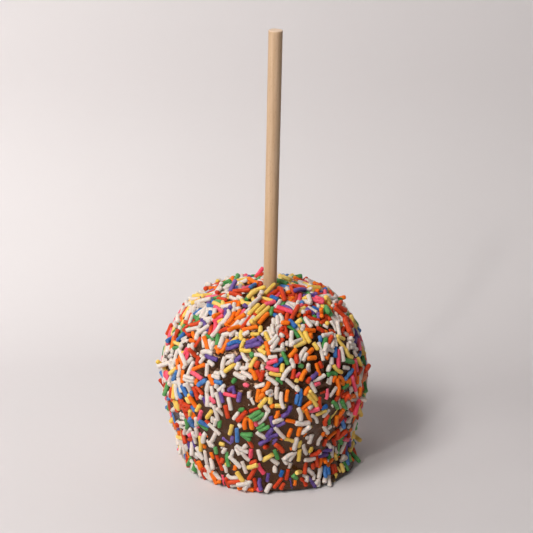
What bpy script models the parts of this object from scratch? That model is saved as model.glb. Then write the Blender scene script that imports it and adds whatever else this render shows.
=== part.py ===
"""Toffee apple: an apple dipped in chocolate, standing on its flat foot, with a wooden stick in its crown.

Run with: blender --background --python part.py
Frame: metres, +Z up, origin at the middle of the flat foot, -Y is the front, +X is to the front's right.
"""

import math

import bmesh
import bpy
from mathutils import Matrix, Vector

MM = 0.001

# Coated apple
COAT_WIDTH = 84.6 * MM
COAT_HEIGHT = 76.0 * MM
# The coat's outline from the foot up to the stick, as shares of the half width and of the height.
OUTLINE = (
    (0.812, 0.000),  # edge of the foot
    (0.846, 0.013),  # chocolate that ran down and set on the table
    (0.860, 0.053),
    (0.867, 0.118),
    (0.893, 0.210),  # straight lower flank
    (0.938, 0.303),
    (0.979, 0.395),
    (1.000, 0.500),  # widest
    (0.989, 0.605),
    (0.950, 0.697),
    (0.886, 0.789),
    (0.789, 0.862),  # shoulder
    (0.670, 0.921),
    (0.531, 0.962),
    (0.370, 0.987),
    (0.214, 1.000),  # rim of the crown
    (0.110, 0.995),
    (0.055, 0.982),  # hollow round the stick
)
RINGS_PER_SPAN = 3
SEGMENTS = 80
# The body sits to the left of its own foot, from this share of the height up.
BODY_SHIFT = Vector((-2.3 * MM, -0.2 * MM, 0.0))
BODY_SHIFT_FROM = 0.16
# The hollow round the stick lies closer to the stick than to the body's middle: shares of width and height.
HOLLOW_REACH = 0.15
HOLLOW_FROM = 0.80
# Waves round the apple: (count, depth, phase, lean of the wave with height in turns).
LOBES = (
    (5, 0.45 * MM, 0.6, 0.05),
    (2, 0.35 * MM, 2.1, 0.10),
    (3, 0.35 * MM, 4.0, -0.20),
    (7, 0.20 * MM, 1.3, 0.40),
)
FOOT_WAVES = (
    (1, 0.80 * MM, math.pi),
    (4, 0.45 * MM, 3.1),
    (3, 0.35 * MM, 5.2),
    (9, 0.22 * MM, 2.7),
)
FOOT_HEIGHT = 12.0 * MM
# A pool of chocolate that ran down at the right of the front and set there.
POOL_ANGLE = math.radians(-33.0)
POOL_HALF_ANGLE = math.radians(24.0)
POOL_REACH = 3.4 * MM
POOL_HEIGHT = 7.0 * MM

# Stick: a dowel of 7/32 in by 5.5 in
STICK_DIAMETER = 5.56 * MM
STICK_LENGTH = 139.7 * MM
STICK_SHOWN = 109.3 * MM
STICK_ENTRY = Vector((-0.1 * MM, -2.2 * MM, COAT_HEIGHT))
STICK_LEAN_FORWARD = math.radians(6.3)
STICK_LEAN_RIGHT = math.radians(1.1)
STICK_CHAMFER = 0.35 * MM
STICK_SIDES = 32
FIT_GAP = 0.3 * MM

CHOCOLATE_COLOUR = (0.085, 0.036, 0.021, 1.0)
WOOD_COLOUR = (0.62, 0.40, 0.21, 1.0)


def smooth_step(share):
    share = min(max(share, 0.0), 1.0)
    return share * share * (3.0 - 2.0 * share)


def catmull_rom(before, start, end, after, share):
    """A point of the smooth curve from start to end, whose neighbours are before and after."""
    square = share * share
    cube = square * share
    return 0.5 * (
        2.0 * start
        + (end - before) * share
        + (2.0 * before - 5.0 * start + 4.0 * end - after) * square
        + (3.0 * start - before - 3.0 * end + after) * cube
    )


def coat_outline():
    """The outline as (radius, height) vectors in metres, from the foot's edge to the stick."""
    corners = [Vector((r * COAT_WIDTH / 2.0, z * COAT_HEIGHT)) for r, z in OUTLINE]
    padded = [corners[0], *corners, corners[-1]]
    curve = []
    for i in range(len(corners) - 1):
        for step in range(RINGS_PER_SPAN):
            curve.append(catmull_rom(*padded[i : i + 4], step / RINGS_PER_SPAN))
    curve.append(corners[-1])
    return curve


def pool_swell(height, angle):
    """How far the pool of set chocolate reaches out at an angle round the foot and a height."""
    away = (angle - POOL_ANGLE + math.pi) % math.tau - math.pi
    return POOL_REACH * math.exp(-((away / POOL_HALF_ANGLE) ** 2)) * (1.0 - smooth_step(height / POOL_HEIGHT))


def coat_point(radius, height, angle):
    """Where the uneven coat lies for a point of the round outline."""
    share = height / COAT_HEIGHT
    # Waves fade where the outline closes in on the stick, so the crown stays whole.
    reach = smooth_step(radius / (0.45 * COAT_WIDTH))
    swell = sum(
        depth * math.cos(n * angle + phase + math.tau * lean * share) for n, depth, phase, lean in LOBES
    )
    foot = sum(depth * math.cos(n * angle + phase) for n, depth, phase in FOOT_WAVES)
    radius += reach * swell + foot * (1.0 - smooth_step(height / FOOT_HEIGHT)) + pool_swell(height, angle)
    shift = BODY_SHIFT * smooth_step(share / BODY_SHIFT_FROM)
    hollow = 1.0 - smooth_step(radius / (HOLLOW_REACH * COAT_WIDTH))
    hollow *= smooth_step((share - HOLLOW_FROM) / (1.0 - HOLLOW_FROM))
    shift += (Vector((STICK_ENTRY.x, STICK_ENTRY.y, 0.0)) - BODY_SHIFT) * hollow
    return Vector((radius * math.cos(angle), radius * math.sin(angle), height)) + shift


def material(name, colour, roughness):
    made = bpy.data.materials.new(name)
    made.use_nodes = True
    shader = made.node_tree.nodes["Principled BSDF"]
    shader.inputs["Base Color"].default_value = colour
    shader.inputs["Roughness"].default_value = roughness
    shader.inputs["Metallic"].default_value = 0.0
    return made


def add_object(name, bm, finish):
    bmesh.ops.recalc_face_normals(bm, faces=bm.faces)
    mesh = bpy.data.meshes.new(name)
    bm.to_mesh(mesh)
    bm.free()
    made = bpy.data.objects.new(name, mesh)
    bpy.context.scene.collection.objects.link(made)
    if finish:
        mesh.materials.append(finish)
    return made


def lathe(rings):
    """A closed bmesh from rings of points, each ring with the same count, capped at both ends."""
    bm = bmesh.new()
    loops = [[bm.verts.new(point) for point in ring] for ring in rings]
    count = len(loops[0])
    for lower, upper in zip(loops, loops[1:]):
        for i in range(count):
            after = (i + 1) % count
            bm.faces.new((lower[i], lower[after], upper[after], upper[i]))
    bm.faces.new(loops[0])
    bm.faces.new(loops[-1])
    return bm


def dowel(radius, bottom, top, chamfer):
    """A round rod along local Z with chamfered ends."""
    profile = (
        (radius - chamfer, bottom),
        (radius, bottom + chamfer),
        (radius, top - chamfer),
        (radius - chamfer, top),
    )
    angles = [math.tau * i / STICK_SIDES for i in range(STICK_SIDES)]
    return lathe([[Vector((r * math.cos(a), r * math.sin(a), z)) for a in angles] for r, z in profile])


def stick_placement():
    """The stick's frame: origin where it enters the crown, local Z along the stick."""
    along = Vector((math.tan(STICK_LEAN_RIGHT), -math.tan(STICK_LEAN_FORWARD), 1.0))
    turn = along.to_track_quat("Z", "Y").to_matrix().to_4x4()
    return Matrix.Translation(STICK_ENTRY) @ turn


def build_coated_apple(finish):
    angles = [math.tau * i / SEGMENTS for i in range(SEGMENTS)]
    rings = [[coat_point(r, z, a) for a in angles] for r, z in coat_outline()]
    apple = add_object("coated_apple", lathe(rings), finish)
    apple.data.shade_smooth()
    apple.data.set_sharp_from_angle(angle=math.radians(40))
    return apple


def cut_stick_hole(apple):
    bottom = STICK_SHOWN - STICK_LENGTH - FIT_GAP
    rod = dowel(STICK_DIAMETER / 2.0 + FIT_GAP, bottom, STICK_LENGTH, STICK_CHAMFER)
    cutter = add_object("stick_hole_cutter", rod, None)
    cutter.matrix_world = stick_placement()
    cutter.hide_render = True
    cutter.display_type = "WIRE"
    hole = apple.modifiers.new("stick hole", "BOOLEAN")
    hole.operation = "DIFFERENCE"
    hole.solver = "EXACT"
    hole.object = cutter


def build_stick(finish):
    rod = dowel(STICK_DIAMETER / 2.0, STICK_SHOWN - STICK_LENGTH, STICK_SHOWN, STICK_CHAMFER)
    stick = add_object("stick", rod, finish)
    stick.matrix_world = stick_placement()
    stick.data.shade_smooth()
    stick.data.set_sharp_from_angle(angle=math.radians(30))
    return stick


def main():
    for old in list(bpy.data.objects):
        bpy.data.objects.remove(old)
    apple = build_coated_apple(material("chocolate", CHOCOLATE_COLOUR, 0.42))
    cut_stick_hole(apple)
    build_stick(material("stick_wood", WOOD_COLOUR, 0.62))


main()
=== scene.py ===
import math
from collections import namedtuple

import bpy
import numpy as np
from mathutils import Matrix, Vector
from mathutils.bvhtree import BVHTree
from mathutils.kdtree import KDTree


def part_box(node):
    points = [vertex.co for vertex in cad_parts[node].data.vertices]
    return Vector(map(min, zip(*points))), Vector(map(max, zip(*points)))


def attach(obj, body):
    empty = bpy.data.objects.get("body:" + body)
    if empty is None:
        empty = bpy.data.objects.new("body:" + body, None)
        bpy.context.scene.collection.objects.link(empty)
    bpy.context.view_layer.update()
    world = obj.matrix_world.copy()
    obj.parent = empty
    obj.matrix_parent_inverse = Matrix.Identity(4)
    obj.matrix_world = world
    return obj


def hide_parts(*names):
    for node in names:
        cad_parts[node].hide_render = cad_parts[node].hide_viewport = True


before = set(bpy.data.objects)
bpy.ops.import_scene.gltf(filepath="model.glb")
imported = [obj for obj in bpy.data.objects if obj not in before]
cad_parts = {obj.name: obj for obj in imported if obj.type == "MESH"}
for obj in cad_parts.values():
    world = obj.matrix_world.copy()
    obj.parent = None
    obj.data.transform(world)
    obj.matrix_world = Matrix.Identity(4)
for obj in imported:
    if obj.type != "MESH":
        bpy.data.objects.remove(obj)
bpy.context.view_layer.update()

# A toffee apple: an apple in a thick coat of set chocolate, rolled in sugar sprinkles, on a wooden stick.
# Metres, +Z up. -Y is the front, the side that the stick leans to.

MM = 0.001
APPLE_LOW, APPLE_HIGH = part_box("coated_apple")
COAT_HEIGHT = APPLE_HIGH.z - APPLE_LOW.z

# The coat's outline from the foot up to the stick, as shares of the half width and of the height.
COAT_HALF_WIDTH = 42.3 * MM
OUTLINE = (
    (0.812, 0.000), (0.846, 0.013), (0.860, 0.053), (0.867, 0.118), (0.893, 0.210), (0.938, 0.303),
    (0.979, 0.395), (1.000, 0.500), (0.989, 0.605), (0.950, 0.697), (0.886, 0.789), (0.789, 0.862),
    (0.670, 0.921), (0.531, 0.962), (0.370, 0.987), (0.214, 1.000), (0.110, 0.995), (0.075, 0.990),
)
# The body sits to the left of its own foot, and the crown's hollow closer to the stick.
BODY_SHIFT = np.array((-2.3, -0.2, 0.0)) * MM
BODY_SHIFT_FROM = 0.16
HOLLOW_REACH = 0.15
HOLLOW_FROM = 0.80
# Waves round the apple: (count, depth in mm, phase, lean of the wave with height in turns).
LOBES = ((5, 0.45, 0.6, 0.05), (2, 0.35, 2.1, 0.10), (3, 0.35, 4.0, -0.20), (7, 0.20, 1.3, 0.40))
# Waves round the foot: (count, depth in mm, phase).
FOOT_WAVES = ((1, 0.80, math.pi), (4, 0.45, 3.1), (3, 0.35, 5.2), (9, 0.22, 2.7))
FOOT_HEIGHT = 12.0 * MM
# A pool of chocolate that ran down at the right of the front and set there.
POOL_ANGLE = math.radians(-33.0)
POOL_HALF_ANGLE = math.radians(24.0)
POOL_REACH = 3.4 * MM
POOL_HEIGHT = 7.0 * MM
COAT_SEGMENTS = 432
COAT_RINGS_PER_SPAN = 13

STICK_RADIUS = 2.78 * MM
STICK_LENGTH = 139.7 * MM
STICK_SHOWN = 109.3 * MM
STICK_BOTTOM = STICK_SHOWN - STICK_LENGTH
STICK_CHAMFER = 0.28 * MM
STICK_SIDES = 72
STICK_ENTRY = np.array((-0.1 * MM, -2.2 * MM, COAT_HEIGHT))
STICK_LEAN_FORWARD = math.radians(6.3)
STICK_LEAN_RIGHT = math.radians(1.1)
STICK_ALONG = np.array((math.tan(STICK_LEAN_RIGHT), -math.tan(STICK_LEAN_FORWARD), 1.0))
STICK_ALONG /= np.linalg.norm(STICK_ALONG)
# The socket in the coat, down from the crown: (place along the stick, gap between stick and coat).
SOCKET = (
    (-0.55 * MM, 0.10 * MM), (-0.9 * MM, 0.06 * MM), (-1.5 * MM, 0.06 * MM),
    (STICK_BOTTOM - 0.3 * MM, 0.06 * MM),
)


# ---------------- small tools

def smooth_step(share):
    share = np.clip(share, 0.0, 1.0)
    return share * share * (3.0 - 2.0 * share)


def unit(vectors):
    return vectors / np.maximum(np.linalg.norm(vectors, axis=-1, keepdims=True), 1e-12)


def ripple(points, wavelength, seed, waves=20, stretch=(1.0, 1.0, 1.0)):
    """A smooth random field, about -1 to 1, whose bumps are as wide as the wavelength."""
    dice = np.random.default_rng(seed)
    heading = unit(dice.normal(size=(waves, 3))) * dice.uniform(0.7, 1.5, (waves, 1)) / np.array(stretch)
    phase = dice.uniform(0.0, math.tau, waves)
    field = np.zeros(len(points))
    for k in range(waves):
        field += np.sin(points @ (heading[k] * math.tau / wavelength) + phase[k])
    return field / math.sqrt(waves)


def new_mesh(name, points, *face_groups):
    """A smooth mesh object from arrays. The faces of one group all have the same number of corners."""
    mesh = bpy.data.meshes.new(name)
    corners = np.concatenate([g.ravel() for g in face_groups]).astype(np.int32)
    sizes = np.concatenate([np.full(len(g), g.shape[1]) for g in face_groups])
    starts = np.concatenate(([0], np.cumsum(sizes)[:-1])).astype(np.int32)
    mesh.vertices.add(len(points))
    mesh.vertices.foreach_set("co", np.asarray(points, np.float32).ravel())
    mesh.loops.add(len(corners))
    mesh.loops.foreach_set("vertex_index", corners)
    mesh.polygons.add(len(sizes))
    mesh.polygons.foreach_set("loop_start", starts)
    mesh.update(calc_edges=True)
    mesh.validate()
    mesh.shade_smooth()
    made = bpy.data.objects.new(name, mesh)
    bpy.context.scene.collection.objects.link(made)
    return made


def mark(obj, name, values):
    """Stores one number for each vertex, for the material to read."""
    layer = obj.data.attributes.new(name, "FLOAT", "POINT")
    layer.data.foreach_set("value", np.asarray(values, np.float32))


def ring_faces(rings, segments):
    """Quads between neighbouring rings of a lathed grid, facing out when the rings run upwards."""
    i = np.arange(rings - 1)[:, None] * segments
    j = np.arange(segments)[None, :]
    k = (j + 1) % segments
    return np.stack([i + j, i + k, i + segments + k, i + segments + j], -1).reshape(-1, 4)


def lathed_mesh(name, rings):
    """A closed mesh object from rings of points, with a face over the first ring and over the last."""
    count, segments = rings.shape[:2]
    first = np.arange(segments)
    last = (count - 1) * segments + first
    return new_mesh(name, rings.reshape(-1, 3), ring_faces(count, segments), first[::-1][None], last[None])


# ---------------- the coat's shape

def catmull_rom(corners, per_span):
    """A smooth curve through the corners."""
    padded = np.vstack([corners[0], corners, corners[-1]])
    share = np.arange(per_span)[:, None] / per_span
    spans = []
    for i in range(len(corners) - 1):
        before, start, end, after = padded[i : i + 4]
        spans.append(0.5 * (
            2.0 * start
            + (end - before) * share
            + (2.0 * before - 5.0 * start + 4.0 * end - after) * share**2
            + (3.0 * start - before - 3.0 * end + after) * share**3
        ))
    return np.vstack([*spans, corners[-1]])


def pool_swell(height, angle):
    """How far the pool of set chocolate reaches out at an angle round the foot and a height."""
    away = (angle - POOL_ANGLE + math.pi) % math.tau - math.pi
    return POOL_REACH * np.exp(-((away / POOL_HALF_ANGLE) ** 2)) * (1.0 - smooth_step(height / POOL_HEIGHT))


def coat_points(radius, height, angle):
    """Where the uneven coat lies for points of the round outline."""
    share = height / COAT_HEIGHT
    # Waves fade where the outline closes in on the stick, so the crown stays whole.
    reach = smooth_step(radius / (0.9 * COAT_HALF_WIDTH))
    swell = sum(
        depth * MM * np.cos(n * angle + phase + math.tau * lean * share) for n, depth, phase, lean in LOBES
    )
    foot = sum(depth * MM * np.cos(n * angle + phase) for n, depth, phase in FOOT_WAVES)
    radius = radius + reach * swell + foot * (1.0 - smooth_step(height / FOOT_HEIGHT))
    radius = radius + pool_swell(height, angle)
    shift = BODY_SHIFT * smooth_step(share / BODY_SHIFT_FROM)[..., None]
    # The crown's hollow lies round the stick, a little off the body's middle.
    hollow = 1.0 - smooth_step(radius / (2.0 * HOLLOW_REACH * COAT_HALF_WIDTH))
    hollow = hollow * smooth_step((share - HOLLOW_FROM) / (1.0 - HOLLOW_FROM))
    shift = shift + (STICK_ENTRY * (1.0, 1.0, 0.0) - BODY_SHIFT) * hollow[..., None]
    return np.stack([radius * np.cos(angle), radius * np.sin(angle), height], -1) + shift


def coat_grid(per_span, segments):
    """Rings of the coat from the foot's edge up to the stick."""
    curve = catmull_rom(np.array(OUTLINE) * (COAT_HALF_WIDTH, COAT_HEIGHT), per_span)
    angle = np.arange(segments) * math.tau / segments
    radius, angle = np.meshgrid(curve[:, 0], angle, indexing="ij")
    height = np.repeat(curve[:, 1:], segments, axis=1)
    return coat_points(radius, height, angle)


class CoatField:
    """Distance to the coat and the way out of it, looked up in a grid of samples round the apple."""

    STEP = 1.5 * MM
    MARGIN = 9.0 * MM
    MARGIN_BELOW = 3.0 * MM
    SEGMENTS = 96
    RINGS_PER_SPAN = 2

    def __init__(self):
        rings = coat_grid(self.RINGS_PER_SPAN, self.SEGMENTS)
        points = rings.reshape(-1, 3)
        foot = range(self.SEGMENTS)
        last = (len(rings) - 1) * self.SEGMENTS
        faces = ring_faces(len(rings), self.SEGMENTS).tolist()
        faces += [list(reversed(foot)), [last + i for i in foot]]
        tree = BVHTree.FromPolygons(points.tolist(), faces)
        self.low = points.min(0) - self.MARGIN
        self.low[2] = -self.MARGIN_BELOW
        count = np.ceil((points.max(0) + self.MARGIN - self.low) / self.STEP).astype(int) + 1
        axes = [self.low[k] + np.arange(count[k]) * self.STEP for k in range(3)]
        grid = np.stack(np.meshgrid(*axes, indexing="ij"), -1)
        distance = np.empty(count)
        for index in np.ndindex(*count):
            spot, normal, _, reach = tree.find_nearest(grid[index])
            outside = (Vector(grid[index]) - spot).dot(normal) > 0.0
            distance[index] = reach if outside else -reach
        self.distance = distance
        self.slope = np.stack(np.gradient(distance, self.STEP), -1)

    def look_up(self, points):
        """(distance, unit way out) at each point, blended between the eight samples round it."""
        spot = np.clip((points - self.low) / self.STEP, 0.0, np.array(self.distance.shape) - 1.001)
        cell = spot.astype(int)
        part = spot - cell
        distance = np.zeros(len(points))
        slope = np.zeros((len(points), 3))
        for corner in np.ndindex(2, 2, 2):
            weight = np.prod(np.where(corner, part, 1.0 - part), axis=1)
            at = tuple((cell + corner).T)
            distance += weight * self.distance[at]
            slope += weight[:, None] * self.slope[at]
        return distance, unit(slope)


# ---------------- sprinkles: their shapes

# name: (share of all sprinkles, colour, paler colour where the sugar has bloomed)
SPRINKLE_COLOURS = {
    "white": (0.350, (0.70, 0.615, 0.55), (0.79, 0.72, 0.665)),
    "red": (0.134, (0.56, 0.034, 0.005), (0.72, 0.090, 0.022)),
    "orange": (0.150, (0.88, 0.150, 0.003), (0.96, 0.255, 0.012)),
    "yellow": (0.118, (0.84, 0.55, 0.085), (0.89, 0.67, 0.21)),
    "green": (0.080, (0.046, 0.24, 0.052), (0.165, 0.43, 0.145)),
    "blue": (0.062, (0.012, 0.115, 0.40), (0.135, 0.30, 0.58)),
    "purple": (0.050, (0.095, 0.045, 0.24), (0.245, 0.155, 0.44)),
    "pink": (0.056, (0.83, 0.058, 0.115), (0.91, 0.19, 0.27)),
}
SIDES = 10
# Rings at a round end and at a cut one: (how far in, in radii, share of the full radius)
ROUND_END = np.array(((0.00, 0.42), (0.22, 0.78), (0.62, 0.97)))
CUT_END = np.array(((0.00, 0.74), (0.10, 0.92), (0.42, 1.00)))
MIDDLE_RINGS = 4
# A strand shorter than this has fewer rings.
SHORT_LENGTH = 2.0 * MM
SHORT_MIDDLE_RINGS = 2
LINE_STEPS = 40
# Of all strands, this share is nearly straight, and this share is nearly straight or gently bent.
NEARLY_STRAIGHT = 0.62
GENTLY_BENT = 0.93
# Of the sprinkles longer than this, this share is two strands stuck together.
DOUBLE_FROM = 3.0 * MM
DOUBLE_SHARE = 0.13


class Rod:
    """One strand of sugar: its middle line, bent in a plane, with a radius and two ends."""

    def __init__(self, dice, length, radius):
        self.length = length
        self.radius = radius
        kind = dice.random()
        if kind < NEARLY_STRAIGHT:
            self.bend = dice.normal(0.0, 0.10)
        elif kind < GENTLY_BENT:
            self.bend = dice.choice((-1.0, 1.0)) * dice.uniform(0.22, 0.95)
        else:
            self.bend = dice.choice((-1.0, 1.0)) * dice.uniform(1.0, 1.9)
        self.sudden = dice.random() < 0.30
        self.elbow = dice.uniform(0.3, 0.7)
        self.cut = np.clip(dice.normal(0.70, 0.28, 2), 0.0, 1.0)
        self.lumps = dice.uniform(0.0, math.tau, 6)[:4]
        self.oval = dice.uniform(0.0, 0.09)
        self.roll = dice.uniform(0.0, math.tau)
        self.place = np.eye(3)
        self.offset = np.zeros(3)

    def heading(self, share):
        turn = smooth_step((share - self.elbow + 0.12) / 0.24) if self.sudden else share
        return self.bend * (turn - 0.5)

    def line(self, shares):
        """Points of the middle line at shares of the length, with the ways along it and sideways."""
        fine = np.linspace(0.0, 1.0, LINE_STEPS + 1)
        angle = self.heading(fine)
        steps = np.stack([np.cos(angle), np.sin(angle)], -1) * self.length / LINE_STEPS
        path = np.vstack([np.zeros(2), np.cumsum((steps[1:] + steps[:-1]) / 2.0, axis=0)])
        path -= path.mean(0)
        flat = [np.interp(shares, fine, path[:, k]) for k in range(2)]
        points = np.stack([*flat, 0.0 * shares], -1)
        angle = self.heading(shares)
        along = np.stack([np.cos(angle), np.sin(angle), 0.0 * shares], -1)
        side = np.stack([-np.sin(angle), np.cos(angle), 0.0 * shares], -1)
        return points @ self.place.T + self.offset, along @ self.place.T, side @ self.place.T

    def balls(self):
        """Balls along the strand that stand for it while the sprinkles settle."""
        inner = max(self.length - 2.0 * self.radius, 0.0)
        count = 1 + int(round(inner / (1.15 * self.radius)))
        first = min(self.radius / self.length, 0.5)
        return self.line(np.linspace(first, 1.0 - first, count) if count > 1 else np.array((0.5,)))[0]

    def rings(self):
        """Where the rings of the skin lie, as shares of the length, and how full each one is."""
        ends = [ROUND_END * (1.0 - c) + CUT_END * c for c in self.cut]
        inset = self.radius / self.length
        reach = min(0.62 * inset, 0.4)
        start = ends[0][:, 0] * inset
        stop = 1.0 - ends[1][::-1, 0] * inset
        count = SHORT_MIDDLE_RINGS if self.length < SHORT_LENGTH else MIDDLE_RINGS
        middle = np.linspace(max(start[-1], reach) + 0.06, min(stop[0], 1.0 - reach) - 0.06, count)
        girth = np.concatenate([ends[0][:, 1], np.ones(count), ends[1][::-1, 1]])
        return np.concatenate([start, middle, stop]), girth

    def skin(self):
        """Vertices and triangles of the strand, in the sprinkle's own frame."""
        shares, girth = self.rings()
        points, along, side = self.line(shares)
        up = np.cross(along, side)
        a = (np.arange(SIDES) * math.tau / SIDES + self.roll)[None, :]
        s = shares[:, None] * self.length / MM
        lump = self.lumps
        swell = 1.0 + 0.035 * np.sin(1.9 * s + lump[0]) + 0.03 * np.sin(0.9 * s + a + lump[1])
        swell += 0.025 * np.sin(2.7 * s + 2.0 * a + lump[2]) + self.oval * np.cos(2.0 * a + lump[3])
        reach = self.radius * girth[:, None] * swell
        skin = (
            points[:, None, :]
            + (reach * np.cos(a))[..., None] * side[:, None, :]
            + (reach * np.sin(a))[..., None] * up[:, None, :]
        )
        tips = np.stack([points[0], points[-1]])
        tips[0] -= along[0] * self.radius * 0.10 * (1.0 - 0.8 * self.cut[0])
        tips[1] += along[-1] * self.radius * 0.10 * (1.0 - 0.8 * self.cut[1])
        return np.vstack([skin.reshape(-1, 3), tips]), strand_triangles(len(shares))


def strand_triangles(rings):
    """Triangles of a strand's skin, whose vertices are its rings and then the tip of each end."""
    quads = ring_faces(rings, SIDES)
    i = np.arange(SIDES)
    k = (i + 1) % SIDES
    last = (rings - 1) * SIDES
    bottom = np.stack([k, i, np.full(SIDES, rings * SIDES)], -1)
    top = np.stack([last + i, last + k, np.full(SIDES, rings * SIDES + 1)], -1)
    return np.vstack([quads[:, (0, 1, 2)], quads[:, (0, 2, 3)], bottom, top])


def turned(angle):
    """A turn round the sprinkle's own upright axis."""
    c, s = math.cos(angle), math.sin(angle)
    return np.array(((c, -s, 0.0), (s, c, 0.0), (0.0, 0.0, 1.0)))


def sprinkle_length(dice):
    """Some are stubs and some are short, but most are 4 to 7 mm long."""
    size = dice.random()
    if size < 0.09:
        return dice.uniform(1.7, 2.6) * MM
    if size < 0.25:
        return dice.uniform(2.6, 3.8) * MM
    return np.clip(dice.normal(5.30, 1.15), 3.5, 9.0) * MM


def second_strand(dice, length, radius):
    """A strand that stuck to another of that length and radius while both were soft."""
    strand = Rod(dice, length * dice.uniform(0.55, 1.05), radius * dice.uniform(0.92, 1.05))
    strand.bend *= 0.5
    if dice.random() < 0.5:
        # Side by side, a little askew
        strand.place = turned(dice.normal(0.0, 0.12))
        strand.offset = np.array((dice.uniform(-0.25, 0.25) * length, 1.55 * radius, 0.0))
        return strand
    # Joined near one end, in a V
    opening = dice.choice((-1.0, 1.0)) * dice.uniform(0.45, 1.25)
    strand.place = turned(opening)
    reach = strand.length / 2.0
    strand.offset = np.array((
        -length / 2.0 + reach * math.cos(opening) + dice.uniform(0.0, 0.3) * length,
        reach * math.sin(opening),
        0.15 * radius,
    ))
    return strand


def make_sprinkle(dice):
    """A sprinkle: one strand, or two that stuck together."""
    radius = np.clip(dice.normal(0.93, 0.06), 0.78, 1.06) * MM
    length = sprinkle_length(dice)
    rods = [Rod(dice, length, radius)]
    if dice.random() < DOUBLE_SHARE and length > DOUBLE_FROM:
        rods.append(second_strand(dice, length, radius))
    return rods


def make_crumb(dice):
    """A bit broken off a sprinkle."""
    radius = dice.uniform(0.22, 0.55) * MM
    bit = Rod(dice, radius * dice.uniform(1.9, 3.2), radius)
    bit.bend = 0.0
    bit.oval = dice.uniform(0.08, 0.22)
    return [bit]


# ---------------- sprinkles: where they lie

# Those round the stick, chosen one by one: (colour, start and end in mm, arch in radians if it has one)
BY_THE_STICK = (
    ("yellow", (-2.0, -12.0, 77.6), (1.5, -6.6, 79.6)),
    ("yellow", (-6.0, -7.8, 77.6), (-2.7, -8.2, 79.0)),
    ("yellow", (-8.6, -14.2, 77.3), (-5.8, -10.8, 78.2), 0.4),
    ("white", (-4.2, -13.4, 77.4), (-3.6, -14.2, 78.8)),
    ("white", (-7.9, -21.5, 75.6), (-4.3, -16.6, 77.3)),
    ("red", (-0.5, -12.6, 76.8), (3.0, -7.8, 77.6)),
    ("red", (3.6, -8.6, 79.0), (5.8, -16.4, 77.2), 1.3),
    ("blue", (0.9, -13.9, 76.8), (2.5, -15.4, 76.6)),
    ("pink", (-1.4, -19.6, 75.6), (1.3, -18.0, 76.0)),
    ("yellow", (-8.2, -24.6, 73.4), (-5.1, -20.6, 75.4)),
    ("yellow", (-5.2, -24.0, 73.8), (-2.7, -20.8, 75.2)),
    ("yellow", (-6.0, -27.8, 71.9), (-0.9, -22.2, 74.8)),
    ("orange", (-4.0, -28.8, 71.2), (-1.3, -25.6, 73.1), 0.2),
    ("pink", (3.6, -22.2, 75.1), (8.2, -23.4, 73.8)),
    ("red", (8.6, -26.2, 72.3), (11.0, -20.4, 74.7)),
    ("orange", (-8.6, 3.4, 79.0), (-5.8, 0.8, 77.9)),
    ("blue", (-8.0, -6.0, 78.4), (-6.4, -2.0, 78.2)),
    ("red", (-14.5, -7.4, 77.2), (-9.2, -8.0, 77.8)),
    ("green", (2.8, 4.6, 78.0), (6.6, 1.0, 78.0), 0.3),
    ("purple", (10.6, -8.0, 77.8), (14.0, -5.2, 77.2), 0.5),
)
# Spots where the coat shows: (turn from the front in degrees, height and radius in mm)
BARE_SPOTS = (
    (-18, 28, 4.5), (-6, 24, 4.5), (3, 17, 4.5), (-24, 38, 3.5), (12, 33, 3.0), (26, 27, 3.5),
    (-10, 50, 3.0), (-30, 56, 3.5), (24, 55, 3.0), (60, 22, 5.0), (100, 34, 6.0), (-75, 30, 4.5),
    (150, 24, 6.0), (-130, 28, 5.0), (190, 45, 4.0), (16, 43, 3.5), (33, 40, 4.0), (8, 24, 3.5),
)
# Layers in the order in which they are laid: how many sprinkles, how far over the coat they start, how limp
# they are (from, to), what shares hang from the lower flank and stand out of it, and how far the rest tip.
Layer = namedtuple("Layer", "count height limp hanging standing lean")
PRESSED_IN = Layer(1330, 0.9 * MM, (0.1, 0.7), 0.42, 0.10, 0.18)
LOOSE = Layer(490, 2.6 * MM, (0.0, 0.5), 0.50, 0.16, 0.30)
ROUND_THE_STICK = Layer(16, 2.8 * MM, (0.3, 0.6), 0.0, 0.0, 0.20)
AT_THE_FOOT = Layer(80, 1.8 * MM, (0.0, 0.3), 0.90, 0.05, 0.30)
CRUMBS = Layer(420, 0.4 * MM, (1.0, 1.0), 0.0, 0.0, 0.10)
# Each sprinkle takes the roomiest of so many spots, none of them closer to the stick's entry than this.
SPOTS_TRIED = 8
STICK_GAP = 3.4 * MM
# The first layers leave room this far round the sprinkles by the stick.
LAID_REACH = 4.2 * MM
PATCH_SEGMENTS = 200
PATCH_RINGS_PER_SPAN = 6
# The coat's usual radius in mm
USUAL_RADIUS = 39.0
FAR_AWAY = 9.0

# How the sprinkles settle: how many rounds, how hard the coat draws a layer in at each, and the limits
SETTLING_ROUNDS = 170
PULL = 0.08 * MM
LOOSE_PULL = 0.10 * MM
SEARCH_EVERY = 6
SEARCH_MARGIN = 0.7 * MM
MAY_OVERLAP = 0.06 * MM
TOUCHING = 0.02 * MM
TABLE_GAP = 0.02 * MM
SKIN_OVER_TABLE = 0.03 * MM
MOST_MOVE = 0.35 * MM
MOST_TURN = 0.12


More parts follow.
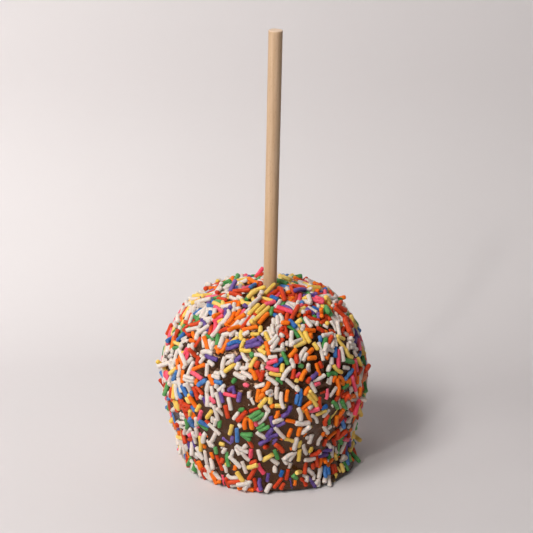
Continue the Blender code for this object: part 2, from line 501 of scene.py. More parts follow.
def sprinkle_density(points):
    """How thickly sprinkles stuck, from 0 to 1, at each point of the coat."""
    height = points[:, 2] / MM
    turn = np.degrees(np.arctan2(points[:, 0], -points[:, 1]))
    density = 0.60 + 0.36 * smooth_step((height - 46.0) / 30.0)
    density -= 0.25 * (1.0 - smooth_step((height - 0.3) / 1.5))
    # The rim stayed clean at the right of the front.
    rim = np.exp(-(((turn - 50.0) / 36.0) ** 4)) * (1.0 - smooth_step((height - 2.0) / 2.2))
    density *= 1.0 - 0.93 * rim
    density *= 1.0 + 0.08 * ripple(points, 14.0 * MM, 31) + 0.10 * ripple(points, 7.0 * MM, 32)
    for middle, level, radius in BARE_SPOTS:
        aside = np.radians((turn - middle + 180.0) % 360.0 - 180.0) * USUAL_RADIUS
        away = np.hypot(aside, height - level)
        density *= 1.0 - 0.50 * np.exp(-((away / radius) ** 2))
    return np.clip(density, 0.02, 1.0)


def close_pairs(points, owner, reach):
    """Pairs of balls of different sprinkles within reach of each other, found through a grid of cells."""
    cell = np.floor((points - points.min(0)) / reach).astype(np.int64) + 1
    size = cell.max(0) + 2
    stride = np.array((size[1] * size[2], size[2], 1))
    key = cell @ stride
    order = np.argsort(key, kind="stable")
    ranked = key[order]
    everyone = np.arange(len(points))
    pairs = []
    for offset in np.ndindex(3, 3, 3):
        step = (np.array(offset) - 1) @ stride
        if step < 0:
            continue
        start = np.searchsorted(ranked, key + step, "left")
        count = np.searchsorted(ranked, key + step, "right") - start
        a = np.repeat(everyone, count)
        within = np.arange(count.sum()) - np.repeat(np.cumsum(count) - count, count)
        b = order[np.repeat(start, count) + within]
        keep = owner[a] != owner[b]
        if step == 0:
            keep &= a < b
        a, b = a[keep], b[keep]
        near = ((points[a] - points[b]) ** 2).sum(1) < reach * reach
        pairs.append(np.stack([a[near], b[near]], -1))
    return np.vstack(pairs)


def capped(vectors, longest):
    """The vectors, with those that are too long cut down to the longest."""
    size = np.linalg.norm(vectors, axis=1, keepdims=True)
    return vectors * np.minimum(1.0, longest / np.maximum(size, 1e-12))


def turn_matrices(spins):
    """Rotation matrices from spins, each the axis times the angle."""
    angle = np.linalg.norm(spins, axis=1)
    x, y, z = (spins / np.maximum(angle, 1e-12)[:, None]).T
    s, c = np.sin(angle), np.cos(angle)
    t = 1.0 - c
    rows = (
        (t * x * x + c, t * x * y - s * z, t * x * z + s * y),
        (t * x * y + s * z, t * y * y + c, t * y * z - s * x),
        (t * x * z - s * y, t * y * z + s * x, t * z * z + c),
    )
    return np.stack([np.stack(row, -1) for row in rows], 1)


class Pile:
    """All the sprinkles as rigid groups of balls, pressed on to the coat and kept apart from each other.

    For each sprinkle: its strands, where it is, its turn, how deep it may sink into the coat, how free it
    is (1 loose, 0 set), how limp (1 lies down along the coat), and its colour if that is chosen. For each
    ball: its place in its sprinkle, its radius, and the sprinkle that owns it.
    """

    def __init__(self, field):
        self.field = field
        self.rods = []
        self.where = np.zeros((0, 3))
        self.turn = np.zeros((0, 3, 3))
        self.sunk = np.zeros(0)
        self.free = np.zeros(0)
        self.limp = np.zeros(0)
        self.colours = []
        self.local = np.zeros((0, 3))
        self.radius = np.zeros(0)
        self.owner = np.zeros(0, int)

    def add(self, rods, where, turn, sunk, limp, free=1.0, colour=None):
        local = [rod.balls() for rod in rods]
        radius = [np.full(len(b), rod.radius) for b, rod in zip(local, rods)]
        self.local = np.vstack([self.local, *local])
        self.radius = np.concatenate([self.radius, *radius])
        self.owner = np.concatenate([self.owner, np.full(sum(map(len, local)), len(self.rods))])
        self.rods.append(rods)
        self.where = np.vstack([self.where, where])
        self.turn = np.concatenate([self.turn, turn[None]])
        self.sunk = np.append(self.sunk, sunk)
        self.free = np.append(self.free, free)
        self.limp = np.append(self.limp, limp)
        self.colours.append(colour)

    def balls(self):
        arms = np.einsum("nij,nj->ni", self.turn[self.owner], self.local)
        return self.where[self.owner] + arms, arms

    def middle_lines(self):
        """Points close together along every strand, with the strand's radius at each."""
        points, radii = [], []
        for rods, turn, where in zip(self.rods, self.turn, self.where):
            for rod in rods:
                inset = min(0.8 * rod.radius / rod.length, 0.45)
                count = 2 + int(rod.length / (0.5 * rod.radius))
                line = rod.line(np.linspace(inset, 1.0 - inset, count))[0]
                points.append(line @ turn.T + where)
                radii.append(np.full(count, rod.radius))
        return np.vstack(points), np.concatenate(radii)

    def total(self, values):
        """Sum of ball values for each sprinkle."""
        if values.ndim == 1:
            return np.bincount(self.owner, values, len(self.rods))
        return np.stack([np.bincount(self.owner, values[:, k], len(self.rods)) for k in range(3)], -1)

    def settle(self, rounds, pull):
        """Presses the sprinkles towards the coat and pushes overlapping ones apart, a little each round."""
        for step in range(rounds):
            points, arms = self.balls()
            if step % SEARCH_EVERY == 0:
                pairs = close_pairs(points, self.owner, 2.0 * self.radius.max() + SEARCH_MARGIN)
            distance, out = self.field.look_up(points)
            rest = self.radius - self.sunk[self.owner]
            # The coat holds up balls that are too deep in it, and draws in those that hang clear of it.
            deep = np.maximum(rest - distance, 0.0)
            push = out * deep[:, None]
            weight = (deep > 0.0).astype(float)
            self.part(points, pairs, push, weight)
            self.clear_stick_and_table(points, push, weight)
            fade = 1.0 - step / rounds
            hanging = distance > rest + TOUCHING
            draw = -out * (hanging * pull * (0.35 + 0.65 * fade))[:, None]
            self.move(arms, push, weight, draw)

    def part(self, points, pairs, push, weight):
        """Adds the push between overlapping sprinkles. One that is already set gives way less."""
        first, second = pairs.T
        gap = points[first] - points[second]
        length = np.linalg.norm(gap, axis=1)
        overlap = self.radius[first] + self.radius[second] - MAY_OVERLAP - length
        hit = overlap > 0.0
        i, j = first[hit], second[hit]
        shove = gap[hit] / np.maximum(length[hit], 1e-9)[:, None] * overlap[hit][:, None]
        give = self.free[self.owner[i]] / (self.free[self.owner[i]] + self.free[self.owner[j]])
        for ball, share in ((i, shove * give[:, None]), (j, -shove * (1.0 - give)[:, None])):
            for k in range(3):
                push[:, k] += np.bincount(ball, share[:, k], len(points))
            weight += np.bincount(ball, minlength=len(points))

    def clear_stick_and_table(self, points, push, weight):
        """Adds the push out of the stick and up from the table."""
        along = (points - STICK_ENTRY) @ STICK_ALONG
        aside = points - STICK_ENTRY - along[:, None] * STICK_ALONG
        away = np.linalg.norm(aside, axis=1)
        inside = np.maximum(STICK_RADIUS + self.radius - away, 0.0)
        push += aside / np.maximum(away, 1e-9)[:, None] * inside[:, None]
        weight += inside > 0.0
        low = np.maximum(self.radius + TABLE_GAP - points[:, 2], 0.0)
        push[:, 2] += low
        weight += low > 0.0

    def move(self, arms, push, weight, draw):
        """Moves and turns every sprinkle as its balls are pushed and drawn, damped so that all settle."""
        moved = self.total(push) / np.maximum(self.total(weight), 1.0)[:, None] * 0.6
        leverage = self.total((arms**2).sum(1)) + 1e-9
        touched = self.total((arms**2).sum(1) * (weight > 0)) + 0.15 * leverage
        spin = self.total(np.cross(arms, push)) / touched[:, None] * 0.5
        moved += self.total(draw) / self.total(np.ones(len(arms)))[:, None]
        spin += self.total(np.cross(arms, draw)) / leverage[:, None] * self.limp[:, None]
        spin *= (self.free * np.minimum(0.12 + 3.0 * self.limp, 1.0))[:, None]
        moved *= np.minimum(self.free, 1.0)[:, None]
        self.where += capped(moved, MOST_MOVE)
        self.turn = turn_matrices(capped(spin, MOST_TURN)) @ self.turn


def facing(out, heading, tilt):
    """A turn whose Z follows the way out of the coat, X the heading, then tipped up by tilt."""
    reference = np.array((0.0, 0.0, 1.0)) if abs(out[2]) < 0.9 else np.array((0.0, 1.0, 0.0))
    east = unit(np.cross(reference, out))
    north = np.cross(out, east)
    x = east * math.cos(heading) + north * math.sin(heading)
    x = x * math.cos(tilt) + out * math.sin(tilt)
    y = unit(np.cross(out, x))
    return np.stack([x, y, np.cross(x, y)], -1)


def choose_lie(dice, spot, out, layer):
    """How a sprinkle lies at a spot of the coat: heading, tilt, limpness and how deep it sinks in."""
    steep = smooth_step(1.0 - abs(out[2])) * (spot[2] < 0.6 * COAT_HEIGHT)
    heading = dice.uniform(0.0, math.tau)
    if dice.random() < 0.60 * steep:
        heading = math.pi / 2.0 + dice.normal(0.0, 0.45)
    tilt = dice.normal(0.0, layer.lean)
    limp = dice.uniform(*layer.limp)
    sunk = dice.uniform(0.10, 0.60)
    if dice.random() < layer.hanging * smooth_step((0.60 - spot[2] / COAT_HEIGHT) / 0.35):
        # It hangs down and away from the coat.
        heading = -math.pi / 2.0 + dice.normal(0.0, 0.50)
        tilt, limp, sunk = dice.uniform(0.15, 0.95), 0.0, dice.uniform(0.5, 1.1)
    elif dice.random() < layer.standing * (1.5 - out[2]):
        # It stands out of the coat.
        tilt, limp, sunk = dice.uniform(0.40, 1.25), 0.0, dice.uniform(0.5, 1.1)
    return heading, tilt, limp, sunk * MM


def scatter(pile, dice, patches, density, layer, make=make_sprinkle):
    """Adds a layer of sprinkles, more where the density is high, and evenly spread."""
    spots, outs = patches
    picks = dice.choice(len(spots), size=(layer.count, SPOTS_TRIED), p=density / density.sum())
    worth = np.sqrt(density / density.max())
    taken = np.full((layer.count, 3), FAR_AWAY)
    for number, options in enumerate(picks):
        room = np.linalg.norm(spots[options][:, None] - taken[None, :], axis=2).min(1)
        pick = options[np.argmax(room * worth[options])]
        spot, out = spots[pick], outs[pick]
        taken[number] = spot
        heading, tilt, limp, sunk = choose_lie(dice, spot, out, layer)
        pile.add(make(dice), spot + out * layer.height, facing(out, heading, tilt), sunk, limp)


def lay(pile, dice, colour, start, end, arch=0.0):
    """Adds one sprinkle from start to end, in millimetres, arched upwards by an angle."""
    start, end = np.array(start) * MM, np.array(end) * MM
    reach = np.linalg.norm(end - start)
    radius = dice.uniform(0.90, 0.98) * MM
    rod = Rod(dice, reach * (1.0 + arch * arch / 24.0) + 2.0 * radius, radius)
    rod.bend = -arch
    rod.sudden = False
    x = (end - start) / reach
    z = unit(np.cross(x, (0.0, 0.0, 1.0)))
    turn = np.stack([x, np.cross(z, x), z], -1)
    pile.add([rod], (start + end) / 2.0, turn, 0.1 * MM, 0.2, 0.10, colour)


def coat_patches(field):
    """Small patches all over the coat: their middles, the ways out of the coat there, and their areas."""
    grid = coat_grid(PATCH_RINGS_PER_SPAN, PATCH_SEGMENTS)
    middles = (grid[:-1, :-1] + grid[1:, 1:]).reshape(-1, 3) / 2.0
    across = np.cross(grid[1:, 1:] - grid[:-1, :-1], grid[1:, :-1] - grid[:-1, 1:]).reshape(-1, 3)
    return middles, field.look_up(middles)[1], np.linalg.norm(across, axis=1)


def room_left(points, pile):
    """How clear each point is of the sprinkles laid so far, from 0 to 1."""
    crowd = sum(np.exp(-((np.linalg.norm(points - w, axis=1) / LAID_REACH) ** 4)) for w in pile.where)
    return np.clip(1.0 - crowd, 0.0, 1.0)


def pour_sprinkles():
    """Rolls the coated apple in sprinkles: a layer that sinks in, loose ones on it, then crumbs."""
    dice = np.random.default_rng(20)
    pile = Pile(CoatField())
    spots, outs, area = coat_patches(pile.field)
    patches = (spots, outs)
    height = spots[:, 2] / MM
    stick_away = np.linalg.norm(spots - STICK_ENTRY, axis=1)
    density = sprinkle_density(spots)
    rounds = SETTLING_ROUNDS

    for sprinkle in BY_THE_STICK:
        lay(pile, dice, *sprinkle)
    pile.settle(rounds // 4, 0.0)
    # What lies already is nearly set when more is poured on it.
    pile.free[:] = 0.01
    room = room_left(spots, pile)
    clear = stick_away > STICK_GAP

    where = area * density * clear * (0.50 + 0.50 * room)
    scatter(pile, dice, patches, where, PRESSED_IN)
    pile.settle(rounds, PULL)
    pile.free = np.minimum(pile.free, 0.25)

    thickness = 0.24 + 1.6 * smooth_step((height - 56.0) / 20.0)
    thickness += 0.18 * (1.0 - smooth_step((height - 5.0) / 12.0))
    scatter(pile, dice, patches, where * thickness * (0.3 + 0.7 * room), LOOSE)
    where = area * room * clear * np.exp(-((stick_away / (8.0 * MM)) ** 4))
    scatter(pile, dice, patches, where, ROUND_THE_STICK)
    where = area * density * (1.0 - smooth_step((height - 3.0) / 3.0))
    scatter(pile, dice, patches, where, AT_THE_FOOT)
    pile.settle(rounds, LOOSE_PULL)
    pile.free = np.minimum(pile.free, 0.12)

    where = area * np.sqrt(density) * (2.0 - smooth_step((height - 10.0) / 25.0))
    scatter(pile, dice, patches, where, CRUMBS, make_crumb)
    pile.settle(rounds // 3, PULL)
    return pile


def sprinkle_piece(name, bodies, pile, dice):
    """All the sprinkles of one colour as one mesh, each sprinkle with a tone of its own."""
    points, faces, tones, count = [], [], [], 0
    for body in bodies:
        tone = dice.random()
        for rod in pile.rods[body]:
            skin, triangles = rod.skin()
            skin = skin @ pile.turn[body].T + pile.where[body]
            skin[:, 2] += max(SKIN_OVER_TABLE - skin[:, 2].min(), 0.0)
            points.append(skin)
            faces.append(triangles + count)
            tones.append(np.full(len(skin), tone))
            count += len(skin)
    piece = new_mesh("sprinkles_" + name, np.vstack(points), np.vstack(faces))
    mark(piece, "tone", np.concatenate(tones))
    return piece


def build_sprinkles(pile):
    """One piece for each colour, as {colour: piece}."""
    dice = np.random.default_rng(7)
    names = list(SPRINKLE_COLOURS)
    shares = np.array([SPRINKLE_COLOURS[name][0] for name in names])
    colour = dice.choice(len(names), size=len(pile.rods), p=shares / shares.sum())
    for body, chosen in enumerate(pile.colours):
        if chosen:
            colour[body] = names.index(chosen)
    return {
        name: sprinkle_piece(name, np.flatnonzero(colour == index), pile, dice)
        for index, name in enumerate(names)
    }


# ---------------- the coat and the stick

def climb(points, pile):
    """How far the soft chocolate crept up, from 0 to 1, at points beside the sprinkles pressed into it."""
    lines, radii = pile.middle_lines()
    tree = KDTree(len(lines))
    for index, spot in enumerate(lines):
        tree.insert(spot, index)
    tree.balance()
    found = [tree.find(point)[1:] for point in points]
    index, reach = np.array(found).T
    return smooth_step(1.0 - (reach - radii[index.astype(int)]) / (0.8 * MM))


def coat_rings():
    """Rings of the closed coat: its underside, then up its outside to the stick, then down the socket."""
    grid = coat_grid(COAT_RINGS_PER_SPAN, COAT_SEGMENTS)
    rim = grid[0]
    middle = rim.mean(0)
    foot = [middle + (rim - middle) * share for share in (0.12, 0.45, 0.80, 0.96)]
    angle = np.arange(COAT_SEGMENTS) * math.tau / COAT_SEGMENTS
    side = unit(np.cross(STICK_ALONG, (0.0, 1.0, 0.0)))
    other = np.cross(STICK_ALONG, side)
    circle = np.cos(angle)[:, None] * side + np.sin(angle)[:, None] * other
    socket = [STICK_ENTRY + STICK_ALONG * place + circle * (STICK_RADIUS + gap) for place, gap in SOCKET]
    return np.concatenate([np.stack(foot), grid, np.stack(socket)])


def coat_relief(points, pile):
    """How far the uneven chocolate stands out, in mm. It fades at the underside and in the socket."""
    height = points[:, 2]
    stick_away = np.linalg.norm(np.cross(points - STICK_ENTRY, STICK_ALONG), axis=1)
    relief = 0.20 * ripple(points, 15.0 * MM, 3, stretch=(1.0, 1.0, 1.8))
    relief += 0.10 * ripple(points, 5.0 * MM, 4, stretch=(1.0, 1.0, 1.4))
    relief += 0.045 * ripple(points, 2.2 * MM, 5)
    relief += 0.42 * climb(points, pile) * (1.0 + 0.3 * ripple(points, 1.6 * MM, 6))
    # Lumps where the chocolate set against the table
    relief += 0.16 * ripple(points, 1.5 * MM, 10) * (1.0 - smooth_step(height / (5.0 * MM)))
    outside = smooth_step((height - 0.1 * MM) / (1.5 * MM))
    return relief * (outside * smooth_step((stick_away - 3.2 * MM) / (3.0 * MM)))


def build_coat(pile):
    """The chocolate coat as a fine closed skin, with its socket round the stick."""
    rings = coat_rings()
    coat = lathed_mesh("chocolate_coat", rings)
    points = rings.reshape(-1, 3)
    normals = np.zeros(points.size, np.float32)
    coat.data.vertices.foreach_get("normal", normals)
    normals = normals.reshape(-1, 3).astype(float)
    points = points + normals * (coat_relief(points, pile) * MM)[:, None]
    coat.data.vertices.foreach_set("co", points.astype(np.float32).ravel())
    coat.data.update()
    return coat


def stick_profile():
    """Heights along the dowel, and how far its rounded ends draw in at each."""
    bottom, top, chamfer = STICK_BOTTOM, STICK_SHOWN, STICK_CHAMFER
    heights = np.concatenate([
        [bottom, bottom + chamfer * 0.4, bottom + chamfer],
        np.linspace(bottom + 1.0 * MM, top - 1.0 * MM, 150),
        [top - chamfer, top - chamfer * 0.45, top - chamfer * 0.12, top],
    ])
    inset = np.zeros(len(heights))
    inset[:2] = chamfer, chamfer * 0.4
    inset[-3:] = chamfer * 0.25, chamfer * 0.6, chamfer
    return heights, inset


def build_stick():
    """The dowel along its own Z, with faint fibres raised along it and a sawn end."""
    heights, inset = stick_profile()
    turn, level = np.meshgrid(np.arange(STICK_SIDES) * math.tau / STICK_SIDES, heights)
    east, north = np.cos(turn), np.sin(turn)
    fibres = np.stack([east * STICK_RADIUS, north * STICK_RADIUS, level / 28.0], -1).reshape(-1, 3)
    relief = 0.016 * ripple(fibres, 0.9 * MM, 8) + 0.010 * ripple(fibres, 0.45 * MM, 9)
    radius = STICK_RADIUS - inset[:, None] + relief.reshape(level.shape) * MM - 0.03 * MM
    shaft = np.stack([radius * east, radius * north, level], -1)
    bottom = [shaft[0] * (share, share, 1.0) for share in (0.25, 0.5, 0.75)]
    top = [shaft[-1] * (share, share, 1.0) for share in (0.75, 0.5, 0.25)]
    rings = np.concatenate([np.stack(bottom), shaft, np.stack(top)])
    # A sawn face is never quite flat.
    sawn = rings[..., 2] > STICK_SHOWN - 0.2 * STICK_CHAMFER
    rings[sawn, 2] += 0.05 * MM * ripple(rings[sawn], 1.4 * MM, 12) - 0.03 * MM
    stick = lathed_mesh("wooden_stick", rings)
    stick.data.set_sharp_from_angle(angle=math.radians(50))
    along_stick = Vector(STICK_ALONG).to_track_quat("Z", "Y").to_matrix().to_4x4()
    stick.matrix_world = Matrix.Translation(STICK_ENTRY) @ along_stick
    return stick


# ---------------- materials

# A mix node's sockets for colours. It has others of the same names for numbers and vectors.
MIX_A, MIX_B, MIX_RESULT = 6, 7, 2


def node(tree, kind, **values):
    """A shader node with settings (plain names) and socket values (names that match an input)."""
    made = tree.nodes.new(kind)
    for name, value in values.items():
        socket = name.replace("_", " ")
        if socket in made.inputs:
            made.inputs[socket].default_value = value
        else:
            setattr(made, name, value)
    return made


def join(tree, *links):
    """Links output to input: each link is (node, output name, node, input name)."""
    for source, output, target, entry in links:
        tree.links.new(source.outputs[output], target.inputs[entry])


def new_group(name, inputs, outputs):
    """A shader node group with a vector, a scale and other named sockets: (name, type, default)."""
    tree = bpy.data.node_groups.new(name, "ShaderNodeTree")
    shared = (("Vector", "Vector", (0.0, 0.0, 0.0)), ("Scale", "Float", 1000.0))
    for label, kind, value in (*shared, *inputs):
        socket = tree.interface.new_socket(label, in_out="INPUT", socket_type="NodeSocket" + kind)
        socket.default_value = value
    for label, kind in outputs:
        tree.interface.new_socket(label, in_out="OUTPUT", socket_type="NodeSocket" + kind)
    return tree, tree.nodes.new("NodeGroupInput"), tree.nodes.new("NodeGroupOutput")


def colour_mix(tree, other, **settings):
    """A node that mixes another colour into the one that it is given."""
    made = node(tree, "ShaderNodeMix", data_type="RGBA", **settings)
    made.inputs[MIX_B].default_value = (*other, 1.0)
    return made


def mottle_group():
    """Two shades of one stuff mixed in soft patches."""
    tree, source, target = new_group(
        "mottle",
        [
            ("Contrast", "Float", 1.0), ("Lean", "Float", 0.5),
            ("Shade", "Color", (0.5, 0.5, 0.5, 1.0)), ("Light", "Color", (0.8, 0.8, 0.8, 1.0)),
        ],
        [("Color", "Color"), ("Amount", "Float")],
    )
    noise = node(tree, "ShaderNodeTexNoise", Detail=5.0, Roughness=0.6)
    centred = node(tree, "ShaderNodeMath", operation="SUBTRACT")
    centred.inputs[1].default_value = 0.5
    stronger = node(tree, "ShaderNodeMath", operation="MULTIPLY")
    lifted = node(tree, "ShaderNodeMath", operation="ADD", use_clamp=True)
    mix = node(tree, "ShaderNodeMix", data_type="RGBA")
    join(
        tree,
        (source, "Vector", noise, "Vector"), (source, "Scale", noise, "Scale"),
        (noise, "Fac", centred, 0), (centred, 0, stronger, 0), (source, "Contrast", stronger, 1),
        (stronger, 0, lifted, 0), (source, "Lean", lifted, 1), (lifted, 0, mix, 0),
        (source, "Shade", mix, MIX_A), (source, "Light", mix, MIX_B),
        (mix, MIX_RESULT, target, "Color"), (lifted, 0, target, "Amount"),
    )
    return tree


def pits_group():
    """Fine pits and grains, as a height from 0 (bottom of a pit) to 1."""
    tree, source, target = new_group(
        "pits",
        [("Share", "Float", 0.5), ("Grain", "Float", 0.4)],
        [("Height", "Float"), ("Pit", "Float")],
    )
    cells = node(tree, "ShaderNodeTexVoronoi", feature="F1", Randomness=1.0)
    edge = node(tree, "ShaderNodeMapRange", interpolation_type="SMOOTHSTEP")
    edge.inputs["From Min"].default_value = 0.05
    grain = node(tree, "ShaderNodeTexNoise", Detail=4.0, Roughness=0.65)
    sum_up = node(tree, "ShaderNodeMath", operation="MULTIPLY_ADD")
    invert = node(tree, "ShaderNodeMath", operation="SUBTRACT")
    invert.inputs[0].default_value = 1.0
    join(
        tree,
        (source, "Vector", cells, "Vector"), (source, "Scale", cells, "Scale"),
        (source, "Vector", grain, "Vector"), (source, "Scale", grain, "Scale"),
        (cells, "Distance", edge, "Value"), (source, "Share", edge, "From Max"),
        (grain, "Fac", sum_up, 0), (source, "Grain", sum_up, 1), (edge, "Result", sum_up, 2),
        (edge, "Result", invert, 1), (sum_up, 0, target, "Height"), (invert, 0, target, "Pit"),
    )
    return tree


MOTTLE = mottle_group()
PITS = pits_group()


def place_group(tree, group, **values):
    """A node that uses a group, with values for its sockets."""
    made = tree.nodes.new("ShaderNodeGroup")
    made.node_tree = group
    for name, value in values.items():
        made.inputs[name].default_value = value
    return made


def new_material(name, **values):
    """A material with values for its shader's sockets: (material, node tree, shader)."""
    made = bpy.data.materials.new(name)
    made.use_nodes = True
    tree = made.node_tree
    shader = tree.nodes["Principled BSDF"]
    for label, value in values.items():
        shader.inputs[label.replace("_", " ")].default_value = value
    return made, tree, shader


def spread(tree, source, output, low, high, start=0.0, stop=1.0):
    """Maps a value between start and stop on to the range from low to high."""
    made = node(tree, "ShaderNodeMapRange")
    for name, value in (("From Min", start), ("From Max", stop), ("To Min", low), ("To Max", high)):
        made.inputs[name].default_value = value
    join(tree, (source, output, made, "Value"))
    return made


def add_grain(tree, shader, mottle, pits, rough, bump, upright=(1.0, 1.0)):
    """Mottled colour, bumpy pits, and roughness that follows the mottle: (mottle node, pits node).

    Upright holds the scales along Z of the mottle and of the pits: they are drawn out when it is under 1.
    """
    place = node(tree, "ShaderNodeTexCoord")
    groups = place_group(tree, MOTTLE, **mottle), place_group(tree, PITS, **pits)
    for group, scale in zip(groups, upright):
        scaled = node(tree, "ShaderNodeMapping", Scale=(1.0, 1.0, scale))
        join(tree, (place, "Object", scaled, "Vector"), (scaled, "Vector", group, "Vector"))
    roughness = spread(tree, groups[0], "Amount", *rough)
    relief = node(tree, "ShaderNodeBump", Strength=bump[0], Distance=bump[1])
    join(
        tree,
        (roughness, "Result", shader, "Roughness"),
        (groups[1], "Height", relief, "Height"), (relief, "Normal", shader, "Normal"),
    )
    return groups


def sprinkle_material(name, colour, pale):
    """Waxy pressed sugar: even colour with a pale bloom, small pits with painted shade in them, and a soft
    sheen.
    """
    made, tree, shader = new_material(
        "sprinkle_" + name, Specular_IOR_Level=0.24,
        Subsurface_Weight=0.30, Subsurface_Radius=(1.0, 0.6, 0.4), Subsurface_Scale=0.0006,
    )
    colours, pits = add_grain(
        tree, shader,
        mottle=dict(Scale=700.0, Contrast=2.0, Shade=(*colour, 1.0), Light=(*pale, 1.0)),
        pits=dict(Scale=2800.0, Share=0.62, Grain=0.9), rough=(0.36, 0.52), bump=(0.90, 0.00012),
    )
    tone = node(tree, "ShaderNodeAttribute", attribute_name="tone")
    lean = spread(tree, tone, "Fac", 0.10, 0.62)
    # Painted shade: the colour is darkened towards the bottoms of the pits.
    pit_shade = spread(tree, pits, "Pit", 0.0, 0.5)
    shade_in_pits = colour_mix(tree, (0.80, 0.76, 0.74), blend_type="MULTIPLY")
    join(
        tree,
        (lean, "Result", colours, "Lean"), (pit_shade, "Result", shade_in_pits, 0),
        (colours, "Color", shade_in_pits, MIX_A), (shade_in_pits, MIX_RESULT, shader, "Base Color"),
    )
    return made


def chocolate_material():
    """Set chocolate: satin, faintly streaked and bloomed, with pinholes."""
    made, tree, shader = new_material(
        "set_chocolate", Specular_IOR_Level=0.85, Specular_Tint=(1.0, 0.60, 0.38, 1.0)
    )
    colours, _ = add_grain(
        tree, shader,
        mottle=dict(
            Scale=160.0, Contrast=1.9, Lean=0.42,
            Shade=(0.010, 0.0032, 0.0013, 1.0), Light=(0.056, 0.0182, 0.0059, 1.0),
        ),
        pits=dict(Scale=900.0, Share=0.30, Grain=0.9), rough=(0.22, 0.32), bump=(0.5, 0.00022),
    )
    join(tree, (colours, "Color", shader, "Base Color"))
    return made


def wood_material():
    """Birch dowel: fine grain along it, short dark pores, a paler sawn end, and a slightly warmer, darker
    tone near the apple.
    """
    made, tree, shader = new_material("birch_dowel", Specular_IOR_Level=0.35)
    colours, pits = add_grain(
        tree, shader,
        mottle=dict(
            Scale=900.0, Contrast=1.5, Lean=0.5,
            Shade=(0.44, 0.275, 0.150, 1.0), Light=(0.635, 0.46, 0.31, 1.0),
        ),
        pits=dict(Scale=2400.0, Share=0.30, Grain=0.6), rough=(0.66, 0.52), bump=(0.35, 0.0001),
        upright=(0.035, 0.16),
    )
    place = node(tree, "ShaderNodeTexCoord")
    level = node(tree, "ShaderNodeSeparateXYZ")
    depth = spread(tree, pits, "Pit", 0.0, 0.55)
    # The colour turns slightly warmer and darker from 56 mm down to 30 mm above the stick's entry into the
    # coat, and stays so below.
    toward_apple = spread(tree, level, "Z", 1.0, 0.0, 30.0 * MM, 56.0 * MM)
    sawn = spread(tree, level, "Z", 0.0, 0.85, STICK_SHOWN - 0.25 * MM, STICK_SHOWN - 0.10 * MM)
    pores = colour_mix(tree, (0.62, 0.50, 0.40), blend_type="MULTIPLY")
    warmer_low = colour_mix(tree, (1.00, 0.96, 0.88), blend_type="MULTIPLY")
    paler = colour_mix(tree, (0.72, 0.55, 0.42))
    join(
        tree,
        (place, "Object", level, "Vector"), (depth, "Result", pores, 0), (toward_apple, "Result", warmer_low, 0),
        (sawn, "Result", paler, 0), (colours, "Color", pores, MIX_A), (pores, MIX_RESULT, warmer_low, MIX_A),
        (warmer_low, MIX_RESULT, paler, MIX_A), (paler, MIX_RESULT, shader, "Base Color"),
    )
    return made


def floor_material():
    """Pale studio paper, which can be seen through from behind."""
    made, tree, shader = new_material("studio_paper", Roughness=0.75, Specular_IOR_Level=0.2)
    place = node(tree, "ShaderNodeTexCoord")
    colours = place_group(
        tree, MOTTLE, Scale=6.0, Contrast=0.6,
        Shade=(0.648, 0.620, 0.628, 1.0), Light=(0.670, 0.647, 0.654, 1.0),
    )
    side = node(tree, "ShaderNodeNewGeometry")
    clear = node(tree, "ShaderNodeBsdfTransparent")
    either = node(tree, "ShaderNodeMixShader")
    join(
        tree,
        (place, "Object", colours, "Vector"), (colours, "Color", shader, "Base Color"),
        (side, "Backfacing", either, 0), (shader, "BSDF", either, 1), (clear, "BSDF", either, 2),
        (either, "Shader", tree.nodes["Material Output"], "Surface"),
    )
    return made


# ---------------- the studio

LAMP_COLOUR = (1.0, 0.97, 0.94)
# The lamps: (name, degrees to the left of the front, degrees up, distance, size, watts)
LAMPS = (
    ("front_softbox", 25.0, 38.0, 0.9, 0.20, 1.70),
    ("key_softbox", 42.0, 48.0, 0.9, 0.25, 3.70),
    ("high_softbox", 56.0, 55.0, 0.9, 0.20, 1.35),
    ("fill_softbox", -4.0, 30.0, 2.0, 0.80, 2.6),
    ("small_lamp", 31.0, 33.0, 3.0, 0.18, 11.0),
)
# One more, which shines past the apple on to the paper behind it
BACKDROP_LAMP = ("backdrop_light", 75.0, 25.0, 0.9, 0.25, 0.26)
BACKDROP_COLOUR = (1.0, 0.975, 0.95)
BACKDROP_TARGET = Vector((-0.22, 0.20, 0.06))
BACKDROP_SPREAD = math.radians(50.0)

PAPER_HALF_WIDTH = 4.0
PAPER_FRONT = -5.0
PAPER_BACK = 0.10
PAPER_BEND = 0.125
PAPER_TOP = 2.5

CAMERA_PLACE = (-1.51 * MM, -553.52 * MM, 257.66 * MM)
CAMERA_DIP = math.radians(17.3)
CAMERA_LENS = 94.56
CAMERA_SENSOR = 36.0


def build_floor():
    """Paper on a table, swept up behind."""
    arc = np.linspace(0.0, math.pi / 2.0, 25)[1:]
    profile = [(PAPER_FRONT, 0.0), (0.0, 0.0), (PAPER_BACK, 0.0)]
    profile += [(PAPER_BACK + PAPER_BEND * math.sin(a), PAPER_BEND * (1.0 - math.cos(a))) for a in arc]
    profile.append((PAPER_BACK + PAPER_BEND, PAPER_TOP))
    points = np.array([(x, y, z) for y, z in profile for x in (-PAPER_HALF_WIDTH, PAPER_HALF_WIDTH)])
    i = np.arange(len(profile) - 1) * 2
    return new_mesh("studio_floor", points, np.stack([i, i + 1, i + 3, i + 2], -1))


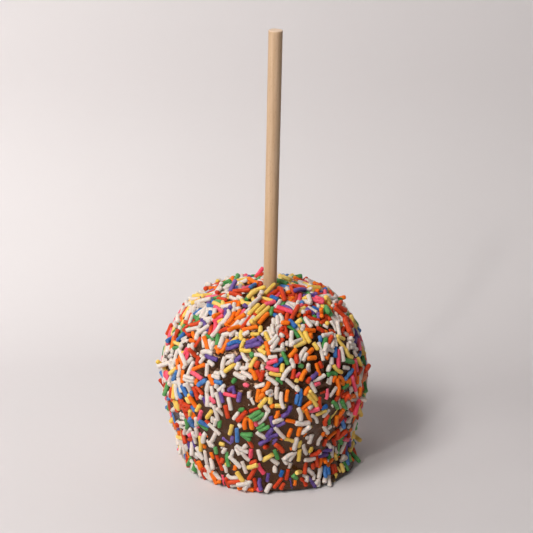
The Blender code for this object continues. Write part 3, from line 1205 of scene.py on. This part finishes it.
def add_lamp(name, turn, rise, away, size, watts, colour=LAMP_COLOUR):
    """A round lamp that shines at the apple's foot."""
    turn, rise = math.radians(turn), math.radians(rise)
    way = Vector((-math.cos(rise) * math.sin(turn), -math.cos(rise) * math.cos(turn), math.sin(rise)))
    lamp = bpy.data.lights.new(name, "AREA")
    lamp.shape = "DISK"
    lamp.size = size
    lamp.energy = watts
    lamp.color = colour
    made = bpy.data.objects.new(name, lamp)
    bpy.context.scene.collection.objects.link(made)
    made.location = way * away
    made.rotation_euler = way.to_track_quat("Z", "Y").to_euler()
    return made


def build_lamps():
    for lamp in LAMPS:
        add_lamp(*lamp)
    backdrop = add_lamp(*BACKDROP_LAMP, BACKDROP_COLOUR)
    way = backdrop.location - BACKDROP_TARGET
    backdrop.rotation_euler = way.to_track_quat("Z", "Y").to_euler()
    backdrop.data.spread = BACKDROP_SPREAD


def build_world():
    """Faint light from all round, so that no shadow is black."""
    world = bpy.data.worlds.new("studio")
    bpy.context.scene.world = world
    world.use_nodes = True
    sky = world.node_tree.nodes["Background"]
    sky.inputs["Color"].default_value = (1.0, 0.985, 0.97, 1.0)
    sky.inputs["Strength"].default_value = 0.015


def build_camera():
    camera = bpy.data.cameras.new("camera")
    camera.sensor_width = CAMERA_SENSOR
    camera.lens = CAMERA_LENS
    eye = bpy.data.objects.new("camera", camera)
    bpy.context.scene.collection.objects.link(eye)
    eye.location = CAMERA_PLACE
    eye.rotation_euler = (math.radians(90.0) - CAMERA_DIP, 0.0, 0.0)
    bpy.context.scene.camera = eye
    bpy.context.scene.view_settings.view_transform = "Standard"


def build_studio():
    floor = build_floor()
    floor.data.materials.append(floor_material())
    build_lamps()
    build_world()
    build_camera()


def main():
    build_studio()
    pile = pour_sprinkles()

    coat = build_coat(pile)
    coat.data.materials.append(chocolate_material())
    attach(coat, "root")
    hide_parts("coated_apple")

    stick = build_stick()
    stick.data.materials.append(wood_material())
    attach(stick, "root")
    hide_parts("stick")

    for name, piece in build_sprinkles(pile).items():
        _, colour, pale = SPRINKLE_COLOURS[name]
        piece.data.materials.append(sprinkle_material(name, colour, pale))
        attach(piece, "root")


main()
